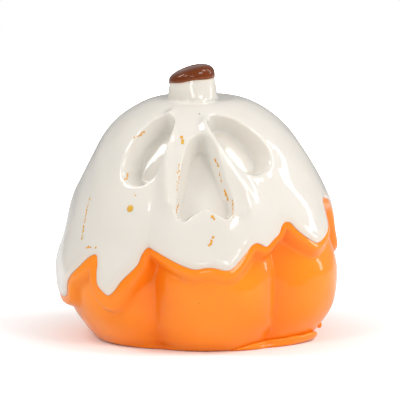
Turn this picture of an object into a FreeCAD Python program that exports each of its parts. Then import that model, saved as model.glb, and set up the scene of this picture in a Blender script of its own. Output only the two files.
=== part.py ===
"""Glazed ceramic pumpkin figure with a skull face, a dripping white icing and a stub stem.

Row frame: millimetres, +Z up, origin on the ground under the middle of the foot, the face looks towards -Y.
Angles round the figure are measured at the Z axis from the front (-Y), positive towards +X.

The clay form is a loft of six-lobed sections. Everything that seats on it is cut with that same form, so the
icing, the stem and the foot puddle meet it face to face.
"""
import FreeCAD, Part
import math
import os

import Sketcher

OUT_FOLDER = "parts"
Vector = FreeCAD.Vector

# alias, value, what it is. Lengths in mm, angles in degrees; a share has no unit.
SIZES = [
    ("crown_height", 29.8, "height of the clay form, ground to crown"),
    ("body_width", 35.8, "width of the clay form over its lobes"),
    ("groove_depth", 1.5, "depth of the deepest groove between two lobes"),
    ("wall", 3.5, "clay between the hollow and the deepest groove"),
    ("base_thickness", 3.0, "clay between the foot recess and the hollow"),
    ("crown_wall", 7.5, "clay above the hollow, which takes the face and the stem socket"),
    ("vent_radius", 2.0, "kiln vent through the base"),
    ("foot_recess", 0.6, "depth of the recess inside the foot ring"),
    ("foot_land", 2.4, "width of the foot ring at a groove"),
    ("icing_thickness", 1.05, "icing beyond the clay form, measured level"),
    ("icing_groove_share", 0.6, "depth of an icing groove as a share of the clay groove under it"),
    ("lining", 0.9, "icing inside the eye sockets and the nose"),
    ("valley_round", 0.55, "radius at the top of each valley between two drips"),
    ("eye_depth", 2.9, "depth of an eye socket at its middle"),
    ("eye_half_length", 5.4, "half the long axis of an eye socket"),
    ("eye_half_width", 2.8, "half the short axis of an eye socket"),
    ("face_slope", 36.0, "lean of the face back from upright"),
    ("nose_width", 7.2, "width of the nose at its lower corners"),
    ("nose_top_width", 2.4, "width of the nose at its upper end"),
    ("nose_length", 11.0, "length of the nose up the face"),
    ("nose_notch", 1.0, "rise of the nose's lower edge in the middle"),
    ("nose_depth", 1.9, "depth of the nose"),
    ("nose_height", 17.2, "height of the nose's lower corners"),
    ("stem_offset", -0.75, "stem axis from the Z axis, along X"),
    ("stem_radius", 3.25, "stem at the crown"),
    ("stem_top_radius", 2.95, "stem where the brown tip begins"),
    ("stem_length", 3.75, "stem axis from the crown of the clay form to the slanted cut"),
    ("stem_slant", 6.5, "lean of the cut that the brown tip sits on, high side towards +X"),
    ("spigot_radius", 2.0, "spigot under the stem"),
    ("spigot_length", 1.8, "spigot's length, and the depth of its socket"),
    ("tip_thickness", 1.55, "brown tip"),
    ("tip_overhang", 0.06, "brown tip beyond the stem"),
    ("tip_round", 0.8, "radius at the brown tip's upper edge"),
    ("puddle_height", 1.35, "foot puddle"),
    ("puddle_spread", 1.25, "foot puddle beyond the clay foot, at a lobe"),
    ("puddle_round", 0.7, "radius at the foot puddle's outer upper edge"),
    ("puddle_start", 20.0, "angle where the foot puddle begins"),
    ("puddle_span", 54.0, "angle that the foot puddle takes"),
]

# Grooves between the six lobes, in degrees.
GROOVE_ANGLES = [-81.0, -22.0, 38.0, 104.0, 161.0, 219.0]

# Sections of the clay form: share of crown_height, share of half body_width, share of groove_depth.
STATIONS = [
    (0.000, 0.813, 0.55),
    (0.054, 0.872, 0.75),
    (0.148, 0.975, 0.95),
    (0.289, 1.000, 1.00),
    (0.443, 0.947, 0.87),
    (0.604, 0.870, 0.60),
    (0.772, 0.718, 0.37),
    (0.906, 0.536, 0.23),
    (1.000, 0.290, 0.15),
]
FIRST_ICING_STATION = 2  # the icing's form starts at this section, below its lowest drip

# Eye sockets: side (-1 towards -X), angle from the front, height of the middle, lean of the long axis with its
# top end towards the nose. The two aren't alike on a hand-shaped face.
EYES = [(-1, 33.0, 25.7, 8.0), (1, 27.5, 26.4, 28.5)]

# Lower edge of the icing: drip tips and the valleys after them, as angle and share of crown_height.
DRIP_TIPS = [(-80, 0.18), (-42, 0.245), (6, 0.37), (31, 0.45), (61, 0.443), (104, 0.37), (141, 0.285), (185, 0.335),
             (228, 0.25)]
VALLEYS = [(-53, 0.40), (-23, 0.455), (26, 0.475), (42, 0.55), (80, 0.60), (122, 0.51), (163, 0.49), (206, 0.53),
           (252, 0.45)]

doc = FreeCAD.newDocument("pumpkin_figure")
sheet = doc.addObject("Spreadsheet::Sheet", "sizes")


def fill_sheet():
    """Writes every driving dimension into the sheet, one row each, with its alias."""
    rows = list(SIZES)
    for n, angle in enumerate(GROOVE_ANGLES):
        rows.append((f"groove_angle_{n}", angle, "groove between two lobes"))
    for n, (height, radius, groove) in enumerate(STATIONS):
        rows.append((f"station_height_{n}", height, "share of crown_height"))
        rows.append((f"station_radius_{n}", radius, "share of half body_width"))
        rows.append((f"station_groove_{n}", groove, "share of groove_depth"))
    for n, (_, spread, height, roll) in enumerate(EYES):
        rows.append((f"eye_spread_{n}", spread, "angle from the front to the middle of this eye"))
        rows.append((f"eye_height_{n}", height, "height of the middle of this eye"))
        rows.append((f"eye_roll_{n}", roll, "lean of this eye's long axis"))
    for label, points in (("tip", DRIP_TIPS), ("valley", VALLEYS)):
        for n, (angle, height) in enumerate(points):
            rows.append((f"{label}_angle_{n}", angle, f"icing edge, {label}"))
            rows.append((f"{label}_height_{n}", height, "share of crown_height"))
    for line, (alias, value, note) in enumerate(rows, start=1):
        sheet.set(f"A{line}", alias)
        sheet.set(f"B{line}", str(value))
        sheet.setAlias(f"B{line}", alias)
        sheet.set(f"C{line}", note)
    doc.recompute()


def size(alias, unit="mm"):
    """Expression text for one cell of the sheet, with its unit."""
    return f"sizes.{alias} * 1{unit}"


def angle(alias):
    return f"(sizes.{alias} * 1deg)"


def share(alias, of="crown_height"):
    return f"sizes.{alias} * sizes.{of} * 1mm"


def value(expression):
    """The number that an expression gives now, in mm or degrees."""
    result = sheet.evalExpression(expression)
    return float(getattr(result, "Value", result))


def station(n):
    """Height, lobe radius and groove depth of one section of the clay form, as expressions."""
    height = share(f"station_height_{n}")
    crest = f"sizes.station_radius_{n} * sizes.body_width / 2 * 1mm"
    groove = f"sizes.station_groove_{n} * sizes.groove_depth * 1mm"
    return height, crest, groove


# ---------------------------------------------------------------- sketch helpers


def pin_point(sketch, geometry, position, across, up):
    """Fixes one point of a sketch at two expressions, measured from the sketch's origin."""
    for kind, expression in (("DistanceX", across), ("DistanceY", up)):
        number = value(expression)
        index = sketch.addConstraint(Sketcher.Constraint(kind, -1, 1, geometry, position, number))
        sketch.setExpression(f"Constraints[{index}]", expression)


def set_radius(sketch, geometry, expression):
    index = sketch.addConstraint(Sketcher.Constraint("Radius", geometry, value(expression)))
    sketch.setExpression(f"Constraints[{index}]", expression)


def point_of(across, up):
    return Vector(value(across), value(up), 0)


def body_sketch(body, name, role):
    """A sketch on one of a body's own origin planes."""
    sketch = body.newObject("Sketcher::SketchObject", name)
    plane = next(f for f in body.Origin.OriginFeatures if f.Role == role)
    sketch.AttachmentSupport = [(plane, "")]
    sketch.MapMode = "FlatFace"
    return sketch


def polygon(sketch, corners):
    """A closed outline of straight lines through pairs of expressions."""
    count = len(corners)
    points = [point_of(*corner) for corner in corners]
    for n in range(count):
        sketch.addGeometry(Part.LineSegment(points[n], points[(n + 1) % count]), False)
    for n in range(count):
        sketch.addConstraint(Sketcher.Constraint("Coincident", n, 2, (n + 1) % count, 1))
        pin_point(sketch, n, 1, *corners[n])


# ---------------------------------------------------------------- lobed forms


def lobed_section(body, name, height, crest, groove):
    """A level outline of six arcs. Each arc runs from groove to groove over the crest of its lobe."""
    sketch = body_sketch(body, name, "XY_Plane")
    sketch.setExpression("AttachmentOffset.Base.z", height)
    count = len(GROOVE_ANGLES)
    grooves, crests = [], []
    for n in range(count):
        here = angle(f"groove_angle_{n}")
        after = angle(f"groove_angle_{(n + 1) % count}")
        turn = " + 360deg" if n == count - 1 else ""
        middle = f"(({here} + {after}{turn}) / 2)"
        inner = f"({crest} - {groove})"
        grooves.append((f"{inner} * sin({here})", f"-{inner} * cos({here})"))
        crests.append((f"({crest}) * sin({middle})", f"-({crest}) * cos({middle})"))
    for n in range(count):
        ends = point_of(*grooves[n]), point_of(*crests[n]), point_of(*grooves[(n + 1) % count])
        sketch.addGeometry(Part.Arc(*ends), False)
    for n in range(count):
        sketch.addConstraint(Sketcher.Constraint("Coincident", n, 2, (n + 1) % count, 1))
        pin_point(sketch, n, 1, *grooves[n])
    for n in range(count):
        mark = sketch.addGeometry(Part.Point(point_of(*crests[n])), True)
        sketch.addConstraint(Sketcher.Constraint("PointOnObject", mark, 1, n))
        pin_point(sketch, mark, 1, *crests[n])
    return sketch


def lobed_form(name, sections):
    """A body lofted through level six-lobed sections, each a height, a crest radius and a groove depth."""
    body = doc.addObject("PartDesign::Body", name)
    sketches = [lobed_section(body, f"{name}_section_{n}", *section) for n, section in enumerate(sections)]
    loft = body.newObject("PartDesign::AdditiveLoft", f"{name}_loft")
    loft.Profile = sketches[0]
    loft.Sections = sketches[1:]
    doc.recompute()
    return body


def clay_form():
    return lobed_form("clay_form", [station(n) for n in range(len(STATIONS))])


def icing_form():
    """The clay form's upper sections, grown by the icing and raised with it towards the crown."""
    sections = []
    for n in range(FIRST_ICING_STATION, len(STATIONS)):
        height, crest, groove = station(n)
        rise = f"sizes.station_height_{n} * sizes.icing_thickness * 1mm"
        sections.append((f"{height} + {rise}", f"({crest} + {size('icing_thickness')})",
                         f"{groove} * sizes.icing_groove_share"))
    return lobed_form("icing_form", sections)


# ---------------------------------------------------------------- booleans


def cut(name, base, tool):
    made = doc.addObject("Part::Cut", name)
    made.Base = base
    made.Tool = tool
    return made


def fuse(name, shapes):
    made = doc.addObject("Part::MultiFuse", name)
    made.Shapes = shapes
    return made


def extrusion(name, sketch, forward, backward="0mm"):
    """A solid from a sketch, along its normal and back from it."""
    made = doc.addObject("Part::Extrusion", name)
    made.Base = sketch
    made.DirMode = "Normal"
    made.Solid = True
    made.setExpression("LengthFwd", forward)
    made.setExpression("LengthRev", backward)
    return made


# ---------------------------------------------------------------- face


def face_frame(turn, tilt, roll, height, reach):
    """A placement on the face: X across it, Y up it and Z out of it."""
    place = f"vector({reach} * sin({turn}); -({reach}) * cos({turn}); {height})"
    return f"placement({place}; rotationz({turn}) * rotationx(90deg - {tilt}) * rotationz({roll}))"


def eye_reach(n):
    """Level distance from the Z axis to the icing at the middle of an eye, between the two sections beside it."""
    low, high = len(STATIONS) - 3, len(STATIONS) - 2
    rise = f"(sizes.eye_height_{n} / sizes.crown_height - sizes.station_height_{low})"
    step = f"(sizes.station_height_{high} - sizes.station_height_{low})"
    change = f"(sizes.station_radius_{high} - sizes.station_radius_{low})"
    radius = f"(sizes.station_radius_{low} + {change} * {rise} / {step}) * sizes.body_width / 2 * 1mm"
    return f"({radius} + {size('icing_thickness')})"


def eye_socket(name, n, growth):
    """The space of one eye socket: an ellipsoid centred on the icing, grown by an expression."""
    made = doc.addObject("Part::Ellipsoid", name)
    made.setExpression("Radius1", f"{size('eye_depth')} + {growth}")
    made.setExpression("Radius2", f"{size('eye_half_width')} + {growth}")
    made.setExpression("Radius3", f"{size('eye_half_length')} + {growth}")
    side = EYES[n][0]
    turn = f"({side} * sizes.eye_spread_{n} * 1deg)"
    roll = f"({side} * sizes.eye_roll_{n} * 1deg)"
    made.setExpression("Placement", face_frame(turn, angle("face_slope"), roll, size(f"eye_height_{n}"),
                                               eye_reach(n)))
    return made


def nose_reach():
    """Level distance from the Z axis to the icing at the nose's lower edge."""
    return f"(sizes.station_radius_{len(STATIONS) - 4} * sizes.body_width / 2 * 1mm + {size('icing_thickness')})"


def nose_hollow(name, growth):
    """The space of the nose: a triangle with its base down and notched, sunk square to the face."""
    sketch = doc.addObject("Sketcher::SketchObject", f"{name}_outline")
    half = f"({size('nose_width')} / 2 + {growth})"
    top = f"({size('nose_length')} + {growth})"
    low = f"(0mm - {growth})"
    peak = f"({size('nose_top_width')} / 2 + {growth})"
    notch = f"({size('nose_notch')} - {growth})"
    polygon(sketch, [(f"-{half}", low), ("0mm", notch), (half, low), (peak, top), (f"-{peak}", top)])
    sketch.setExpression("Placement", face_frame("0deg", angle("face_slope"), "0deg", size("nose_height"),
                                                 nose_reach()))
    return extrusion(name, sketch, size("icing_thickness", "mm * 4"), f"{size('nose_depth')} + {growth}")


def face_hollows(name, growth):
    """Both eye sockets and the nose as one tool."""
    eyes = [eye_socket(f"{name}_eye_{n}", n, growth) for n in range(len(EYES))]
    return fuse(name, eyes + [nose_hollow(f"{name}_nose", growth)])


# ---------------------------------------------------------------- drips


def tangent_point(corner, centre, radius):
    """The upper one of the two points where a line from corner touches a circle."""
    away = corner - centre
    swing = math.acos(radius / away.Length)
    facing = math.atan2(away.y, away.x)
    touches = [centre + Vector(math.cos(facing + s), math.sin(facing + s), 0) * radius for s in (swing, -swing)]
    return max(touches, key=lambda p: p.y)


def valley_cutter(n):
    """What is cut from the icing between two drip tips: two slopes that meet in a rounded valley."""
    count = len(VALLEYS)
    # Neighbouring cutters cross at this distance from the Z axis and overlap inside it, so it clears the icing.
    reach = f"(sizes.body_width / 2 * 1mm + 2 * {size('icing_thickness')})"
    here = angle(f"valley_angle_{n}")
    before = angle(f"tip_angle_{n}")
    turn = " + 360deg" if n == count - 1 else ""
    after = f"({angle(f'tip_angle_{(n + 1) % count}')}{turn})"
    left = f"-{reach} * sin({here} - {before})"
    right = f"{reach} * sin({after} - {here})"
    left_tip = (left, share(f"tip_height_{n}"))
    right_tip = (right, share(f"tip_height_{(n + 1) % count}"))
    centre = ("0mm", f"{share(f'valley_height_{n}')} - {size('valley_round')}")

    sketch = doc.addObject("Sketcher::SketchObject", f"valley_{n}_outline")
    tips = point_of(*left_tip), point_of(*right_tip)
    middle = point_of(*centre)
    radius = value(size("valley_round"))
    touch = [tangent_point(tip, middle, radius) for tip in tips]
    crown = middle + Vector(0, radius, 0)
    floor = point_of(left, "0mm"), point_of(right, "0mm")
    for edge in (Part.LineSegment(floor[0], tips[0]), Part.LineSegment(tips[0], touch[0]),
                 Part.Arc(touch[1], crown, touch[0]), Part.LineSegment(touch[1], tips[1]),
                 Part.LineSegment(tips[1], floor[1]), Part.LineSegment(floor[1], floor[0])):
        sketch.addGeometry(edge, False)
    for joint in (("Coincident", 0, 2, 1, 1), ("Tangent", 1, 2, 2, 2), ("Tangent", 3, 1, 2, 1),
                  ("Coincident", 3, 2, 4, 1), ("Coincident", 4, 2, 5, 1), ("Coincident", 5, 2, 0, 1)):
        sketch.addConstraint(Sketcher.Constraint(*joint))
    set_radius(sketch, 2, size("valley_round"))
    pin_point(sketch, 2, 3, *centre)
    pin_point(sketch, 0, 1, left, "0mm")
    pin_point(sketch, 1, 1, *left_tip)
    pin_point(sketch, 4, 1, *right_tip)
    pin_point(sketch, 5, 1, right, "0mm")
    sketch.setExpression("Placement", f"placement(vector(0; 0; 0); rotationz({here}) * rotationx(90deg))")
    return extrusion(f"valley_{n}", sketch, f"{reach} + {size('icing_thickness')}")


# ---------------------------------------------------------------- pieces


def on_crown(height):
    """The stem's axis at a height above the clay form's crown."""
    return f"placement(vector({size('stem_offset')}; 0mm; {size('crown_height')} + {height}); rotation(0; 0; 0))"


def cylinder(name, radius, height, place):
    made = doc.addObject("Part::Cylinder", name)
    made.setExpression("Radius", radius)
    made.setExpression("Height", height)
    made.setExpression("Placement", place)
    return made


def hollow():
    """The casting's hollow, an ellipsoid inside the deepest grooves."""
    made = doc.addObject("Part::Ellipsoid", "hollow")
    floor_height = f"({size('foot_recess')} + {size('base_thickness')})"
    ceiling = f"({size('crown_height')} - {size('crown_wall')})"
    across = f"sizes.body_width / 2 * 1mm - {size('groove_depth')} - {size('wall')}"
    made.setExpression("Radius1", f"({ceiling} - {floor_height}) / 2")
    made.setExpression("Radius2", across)
    made.setExpression("Radius3", across)
    made.setExpression("Placement", f"placement(vector(0mm; 0mm; ({ceiling} + {floor_height}) / 2); "
                                    f"rotation(0; 0; 0))")
    return made


def shaped_clay(form):
    """The solid clay form with the recesses that the icing lines and the stem's socket."""
    socket = cylinder("stem_socket", size("spigot_radius"), size("spigot_length"),
                      on_crown(f"(0mm - {size('spigot_length')})"))
    recesses = fuse("clay_recesses", [face_hollows("clay_face", size("lining")), socket])
    return cut("shaped_clay", form, recesses)


def pumpkin_body(clay):
    """The clay casting: hollow, with a foot ring and a kiln vent."""
    _, crest, groove = station(0)
    recess = cylinder("foot_recess_disc", f"{crest} - {groove} - {size('foot_land')}", size("foot_recess"),
                      "placement(vector(0mm; 0mm; 0mm); rotation(0; 0; 0))")
    vent = cylinder("vent", size("vent_radius"), f"{size('foot_recess')} + 2 * {size('base_thickness')}",
                    "placement(vector(0mm; 0mm; 0mm); rotation(0; 0; 0))")
    inside = fuse("casting_inside", [hollow(), vent, recess])
    return cut("pumpkin_body", clay, inside)


def skull_icing(clay):
    """The white icing: its own form less the face, the valleys between its drips, the clay and the stem."""
    valleys = [valley_cutter(n) for n in range(len(VALLEYS))]
    stem_hole = cylinder("stem_hole", size("stem_radius"), f"{size('icing_thickness')} * 3", on_crown("0mm"))
    removed = fuse("icing_removed", valleys + [face_hollows("icing_face", "0mm"), stem_hole])
    open_icing = cut("open_icing", icing_form(), removed)
    filled = fuse("clay_and_spigot", [clay, cylinder("spigot_space", size("spigot_radius"), size("spigot_length"),
                                                     on_crown(f"(0mm - {size('spigot_length')})"))])
    return cut("skull_icing", open_icing, filled)


def slanted_plane():
    """The placement of the slanted cut across the stem, with its X axis rising towards +X."""
    place = f"vector({size('stem_offset')}; 0mm; {size('crown_height')} + {size('stem_length')})"
    return f"placement({place}; rotationy(-{angle('stem_slant')}))"


def stem():
    """The stub stem, with a spigot under it and a slanted cut across its top."""
    shank = doc.addObject("Part::Cone", "stem_shank")
    shank.setExpression("Radius1", size("stem_radius"))
    shank.setExpression("Radius2", size("stem_top_radius"))
    shank.setExpression("Height", f"{size('stem_length')} + {size('stem_radius')} * tan({angle('stem_slant')})")
    shank.setExpression("Placement", on_crown("0mm"))
    spigot = cylinder("stem_spigot", size("spigot_radius"), size("spigot_length"),
                      on_crown(f"(0mm - {size('spigot_length')})"))
    above = cylinder("above_the_cut", f"2 * {size('stem_radius')}", f"2 * {size('stem_radius')}", slanted_plane())
    return cut("stem", fuse("stem_blank", [shank, spigot]), above)


def stem_tip():
    """The brown glazed tip that sits on the slanted cut."""
    body = doc.addObject("PartDesign::Body", "stem_tip")
    sketch = body_sketch(body, "stem_tip_outline", "XY_Plane")
    radius = f"{size('stem_top_radius')} + {size('tip_overhang')}"
    sketch.addGeometry(Part.Circle(Vector(0, 0, 0), Vector(0, 0, 1), value(radius)), False)
    sketch.addConstraint(Sketcher.Constraint("Coincident", 0, 3, -1, 1))
    set_radius(sketch, 0, radius)
    pad = body.newObject("PartDesign::Pad", "stem_tip_pad")
    pad.Profile = sketch
    pad.setExpression("Length", size("tip_thickness"))
    doc.recompute()
    top_edge = max(range(len(pad.Shape.Edges)), key=lambda n: pad.Shape.Edges[n].CenterOfMass.z)
    rounding = body.newObject("PartDesign::Fillet", "stem_tip_rounding")
    rounding.Base = (pad, [f"Edge{top_edge + 1}"])
    rounding.setExpression("Radius", size("tip_round"))
    body.Tip = rounding
    body.setExpression("Placement", slanted_plane())
    return body


def foot_puddle(form):
    """Glaze that ran down and froze round the foot: part of a ring, cut with the clay form that it clings to."""
    body = doc.addObject("PartDesign::Body", "puddle_ring")
    sketch = body_sketch(body, "puddle_profile", "XZ_Plane")
    _, crest, groove = station(0)
    inner = f"({crest} - {groove} - {size('foot_land')})"
    outer = f"({crest} + {size('puddle_spread')})"
    top = size("puddle_height")
    shoulder = f"({outer} - {size('puddle_round')})"
    side = f"({top} - {size('puddle_round')})"
    corners = [(inner, "0mm"), (outer, "0mm"), (outer, side), (shoulder, top), (inner, top)]
    points = [point_of(*corner) for corner in corners]
    centre = point_of(shoulder, side)
    bulge = centre + Vector(1, 1, 0).normalize() * value(size("puddle_round"))
    for edge in (Part.LineSegment(points[0], points[1]), Part.LineSegment(points[1], points[2]),
                 Part.Arc(points[2], bulge, points[3]), Part.LineSegment(points[3], points[4]),
                 Part.LineSegment(points[4], points[0])):
        sketch.addGeometry(edge, False)
    for joint in (("Coincident", 0, 2, 1, 1), ("Tangent", 1, 2, 2, 1), ("Tangent", 2, 2, 3, 1),
                  ("Coincident", 3, 2, 4, 1), ("Coincident", 4, 2, 0, 1)):
        sketch.addConstraint(Sketcher.Constraint(*joint))
    set_radius(sketch, 2, size("puddle_round"))
    pin_point(sketch, 2, 3, shoulder, side)
    pin_point(sketch, 0, 1, *corners[0])
    pin_point(sketch, 1, 1, *corners[1])
    pin_point(sketch, 4, 1, *corners[4])
    ring = body.newObject("PartDesign::Revolution", "puddle_revolution")
    ring.Profile = sketch
    ring.ReferenceAxis = (sketch, ["V_Axis"])
    ring.setExpression("Angle", size("puddle_span", "deg"))
    body.Tip = ring
    # The profile stands towards +X, a quarter turn on from the front.
    start = f"({angle('puddle_start')} - 90deg)"
    body.setExpression("Placement", f"placement(vector(0; 0; 0); rotationz({start}))")
    return cut("foot_puddle", body, form)


def build():
    fill_sheet()
    form = clay_form()
    clay = shaped_clay(form)
    pieces = [pumpkin_body(clay), skull_icing(clay), stem(), stem_tip(), foot_puddle(form)]
    doc.recompute()
    return pieces


def check(pieces):
    """Stops if any object failed or a piece isn't one sound solid."""
    failed = [o.Name for o in doc.Objects if {"Invalid", "Error"} & set(o.State)]
    if failed:
        raise RuntimeError(f"failed objects: {failed}")
    for piece in pieces:
        shape = piece.Shape
        if shape.isNull() or not shape.isValid() or len(shape.Solids) != 1:
            raise RuntimeError(f"{piece.Label}: {len(shape.Solids)} solids, valid {shape.isValid()}")


def export(pieces):
    os.makedirs(OUT_FOLDER, exist_ok=True)
    for piece in pieces:
        piece.Shape.exportStep(os.path.join(OUT_FOLDER, f"{piece.Label}.step"))
        print(f"{piece.Label}: {piece.Shape.Volume:.1f} mm3")


made = build()
check(made)
export(made)
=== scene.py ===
"""The looks of a glazed ceramic pumpkin with a skull face, built around its packed construction.

Shapes are worked out in millimetres and turned into metres where a mesh is made. An angle goes round the Z
axis from the front (-Y), positive towards +X. A run is the way down the form's profile from the middle of the
crown.
"""

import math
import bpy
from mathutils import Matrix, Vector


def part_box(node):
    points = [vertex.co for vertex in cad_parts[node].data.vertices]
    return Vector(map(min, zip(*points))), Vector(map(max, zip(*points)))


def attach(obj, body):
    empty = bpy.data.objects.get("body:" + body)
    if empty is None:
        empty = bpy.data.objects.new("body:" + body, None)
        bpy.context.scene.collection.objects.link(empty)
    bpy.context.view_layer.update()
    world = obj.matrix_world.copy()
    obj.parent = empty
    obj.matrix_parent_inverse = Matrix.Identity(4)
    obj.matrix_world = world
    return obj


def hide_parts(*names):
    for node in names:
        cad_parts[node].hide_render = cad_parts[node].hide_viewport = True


bl_info = {
    "name": "Glazed pumpkin figure",
    "version": (1, 0, 0),
    "blender": (4, 5, 0),
    "location": "3D View > Sidebar > Pumpkin",
    "description": "Builds a glazed ceramic pumpkin with a skull face around its packed construction",
    "category": "Add Mesh",
}

import bmesh
import bpy
import numpy as np
from bpy.props import FloatProperty, FloatVectorProperty, IntProperty, PointerProperty
from bpy.types import Operator, Panel, PropertyGroup
from mathutils import Vector
from mathutils.geometry import delaunay_2d_cdt

MM = 0.001

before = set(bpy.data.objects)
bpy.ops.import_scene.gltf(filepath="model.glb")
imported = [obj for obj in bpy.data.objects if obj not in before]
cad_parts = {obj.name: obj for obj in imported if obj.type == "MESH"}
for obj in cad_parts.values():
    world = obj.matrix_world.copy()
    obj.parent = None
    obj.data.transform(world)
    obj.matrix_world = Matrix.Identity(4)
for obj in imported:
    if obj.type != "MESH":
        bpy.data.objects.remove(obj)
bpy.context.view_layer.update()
CLAY_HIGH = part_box("pumpkin_body")[1] / MM
ICING_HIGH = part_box("skull_icing")[1] / MM
STEM_LOW, STEM_HIGH = (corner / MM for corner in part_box("stem"))

CROWN = CLAY_HIGH.z                     # height of the clay form
HALF_WIDTH = CLAY_HIGH.y                # the clay form over its lobes
ICING = ICING_HIGH.z - CROWN            # the icing over the clay
STEM_X = (STEM_LOW.x + STEM_HIGH.x) / 2
STEM_RADIUS = (STEM_HIGH.x - STEM_LOW.x) / 2
STEM_SEAT = ICING_HIGH.z - 0.28         # the stem's foot, sunk a little into the icing
TIP_EDGE = CROWN + 3.22                 # the brown glaze's lower edge, in the middle of its slant
TIP_TOP = CROWN + 4.98                  # the brown tip's top at the stem's axis
STEM_COLUMNS = 120                      # mesh columns round the stem and its tip
CROWDING = 0.36                         # how much closer the mesh columns lie at the front
FACE_ANGLE = 1.2                        # the face lies within this angle of the front, in radians
ON_EDGE = 1e-4                          # a point this near the coat's edge lies on it
TUCK = 0.03                             # the coat's edge is tucked this far into the orange

# The clay form's profile: share of its height, share of its half width, share of the groove depth.
STATIONS = (
    (0.000, 0.770, 0.72),
    (0.009, 0.800, 0.80),
    (0.027, 0.830, 0.88),
    (0.060, 0.880, 0.95),
    (0.148, 0.972, 1.00),
    (0.289, 1.000, 1.00),
    (0.443, 0.935, 0.85),
    (0.604, 0.856, 0.55),
    (0.772, 0.710, 0.36),
    (0.849, 0.632, 0.28),
    (0.914, 0.532, 0.20),
    (0.963, 0.412, 0.12),
    (0.990, 0.300, 0.06),
    (0.993, 0.150, 0.00),
    (0.993, 0.000, 0.00),
)
# Grooves between the lobes: angle, share of the depth, sharpness.
GROOVES = ((-84, 0.35), (-23, 1.15), (37, 1.0), (104, 0.9), (161, 1.0), (219, 0.9))

# The lower edge of the white coat, once round: angle and height in millimetres.
PAINT_EDGE = (
    (-87, 7.6), (-78, 6.0), (-70, 5.9), (-65.8, 6.5), (-64.0, 8.2), (-56.3, 10.5), (-50.5, 12.0),
    (-47.6, 12.2), (-45.9, 11.2), (-45.3, 9.8), (-44.4, 8.6), (-41.5, 7.7), (-39.2, 7.35), (-36.8, 7.9),
    (-33.6, 9.3), (-27.4, 11.5), (-25.8, 12.9), (-23.8, 13.65), (-20.6, 13.35), (-15.0, 12.65),
    (-9.2, 11.9), (-2.8, 11.3), (1.9, 11.5), (5.2, 11.45), (9.1, 11.15), (11.6, 11.2), (15.3, 12.1),
    (19.1, 13.25), (22.2, 14.1), (24.4, 14.25), (26.5, 14.0), (28.8, 13.7), (32.8, 14.4), (36.5, 15.1),
    (38.3, 16.0), (40.1, 16.45), (43.0, 16.35), (45.7, 15.5), (48.9, 14.7), (54.1, 13.7), (57.0, 13.35),
    (61.2, 13.6), (65.8, 14.2), (69.4, 15.1), (71.0, 16.6), (72.4, 18.0), (75.3, 18.35), (80.0, 18.05),
    (88, 17.4), (95, 14.4), (100, 11.8), (105, 11.0), (110, 12.2), (117, 14.8), (123, 15.4), (130, 13.4),
    (136, 9.8), (141, 8.6), (146, 9.6), (153, 12.8), (162, 14.6), (170, 13.2), (178, 10.9), (185, 10.0),
    (191, 11.2), (198, 14.6), (206, 15.8), (213, 14.2), (220, 9.9), (227, 7.7), (233, 8.6), (240, 12.2),
    (250, 13.4), (260, 11.6),
)

# Eye sockets: side, angle from the front, height, lean of the long axis with its top end towards the nose,
# half length and half width.
EYES = ((-1, 32.0, 25.8, 10.0, 5.3, 2.55), (1, 27.0, 26.5, 29.0, 5.1, 2.75))

# The nose's outline on the face, in millimetres across and up from its lower edge.
NOSE = (
    (-3.35, 1.4), (-2.95, 0.2), (-2.0, -0.15), (-0.8, 0.6), (0.3, 1.1), (1.6, 0.7), (3.2, 0.1),
    (3.95, 0.8), (4.0, 2.5), (3.3, 4.6), (2.55, 7.0), (1.9, 9.2), (1.0, 10.9), (-0.3, 11.5), (-1.5, 10.7),
    (-2.3, 8.4), (-2.8, 5.9), (-3.15, 3.7),
)
NOSE_HEIGHT = 17.5
NOSE_LENGTH = 11.5

# Soft ridges on the face: height, width, then angle and height of each point.
RIDGES = (
    (0.66, 1.05, ((-27, 29.4), (-20.5, 27.2), (-19.0, 24.6), (-18.0, 21.7), (-15.5, 19.2))),
    (0.62, 1.05, ((5, 28.6), (11, 25.9), (16.4, 23.3), (21.5, 20.8), (23.0, 18.4))),
)

# Specks of orange and yellow glaze on the white: drop size in millimetres, then angle and height of each
# point of a stroke.
SPECKS = (
    (0.45, ((-33.9, 18.4), (-33.8, 18.3))),
    (0.135, ((-61.9, 19.0), (-61.2, 17.3), (-60.6, 15.9))),
    (0.18, ((-60.4, 15.2), (-59.7, 13.9))),
    (0.17, ((-54.6, 12.9), (-50.0, 12.9), (-47.0, 13.2))),
    (0.165, ((-44.0, 26.7), (-41.5, 27.6))),
    (0.135, ((-41.8, 21.4), (-43.0, 22.8))),
    (0.15, ((-25.2, 26.2), (-24.6, 24.8), (-25.7, 23.3))),
    (0.21, ((-11.0, 27.2), (-9.8, 26.6))),
    (0.105, ((-11.4, 24.1), (-11.6, 22.6), (-12.2, 20.8))),
    (0.15, ((-10.9, 19.4), (-11.8, 18.3))),
    (0.18, ((9.1, 25.0), (10.3, 24.1))),
    (0.15, ((10.5, 23.3), (10.9, 22.4))),
    (0.255, ((11.8, 21.4), (12.7, 20.4))),
    (0.18, ((14.4, 19.7), (14.9, 19.2))),
    (0.12, ((14.6, 18.9), (14.0, 17.7))),
    (0.18, ((4.4, 17.7), (5.6, 17.5))),
    (0.18, ((4.7, 15.2), (3.2, 14.2))),
    (0.09, ((-33.5, 20.2), (-32.9, 19.9))),
)


# ---------------------------------------------------------------- settings


def length_setting(name, description, millimetres, lowest=0.0):
    return FloatProperty(name=name, description=description, default=millimetres * MM, min=lowest * MM,
                         subtype="DISTANCE", unit="LENGTH")


def plain_setting(name, description, default, lowest, highest):
    return FloatProperty(name=name, description=description, default=default, min=lowest, max=highest)


def angle_setting(name, description, degrees):
    return FloatProperty(name=name, description=description, default=math.radians(degrees), subtype="ANGLE",
                         unit="ROTATION")


def colour_setting(name, description, *default):
    return FloatVectorProperty(name=name, description=description, subtype="COLOR", size=3, default=default,
                               min=0, max=1)


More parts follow.
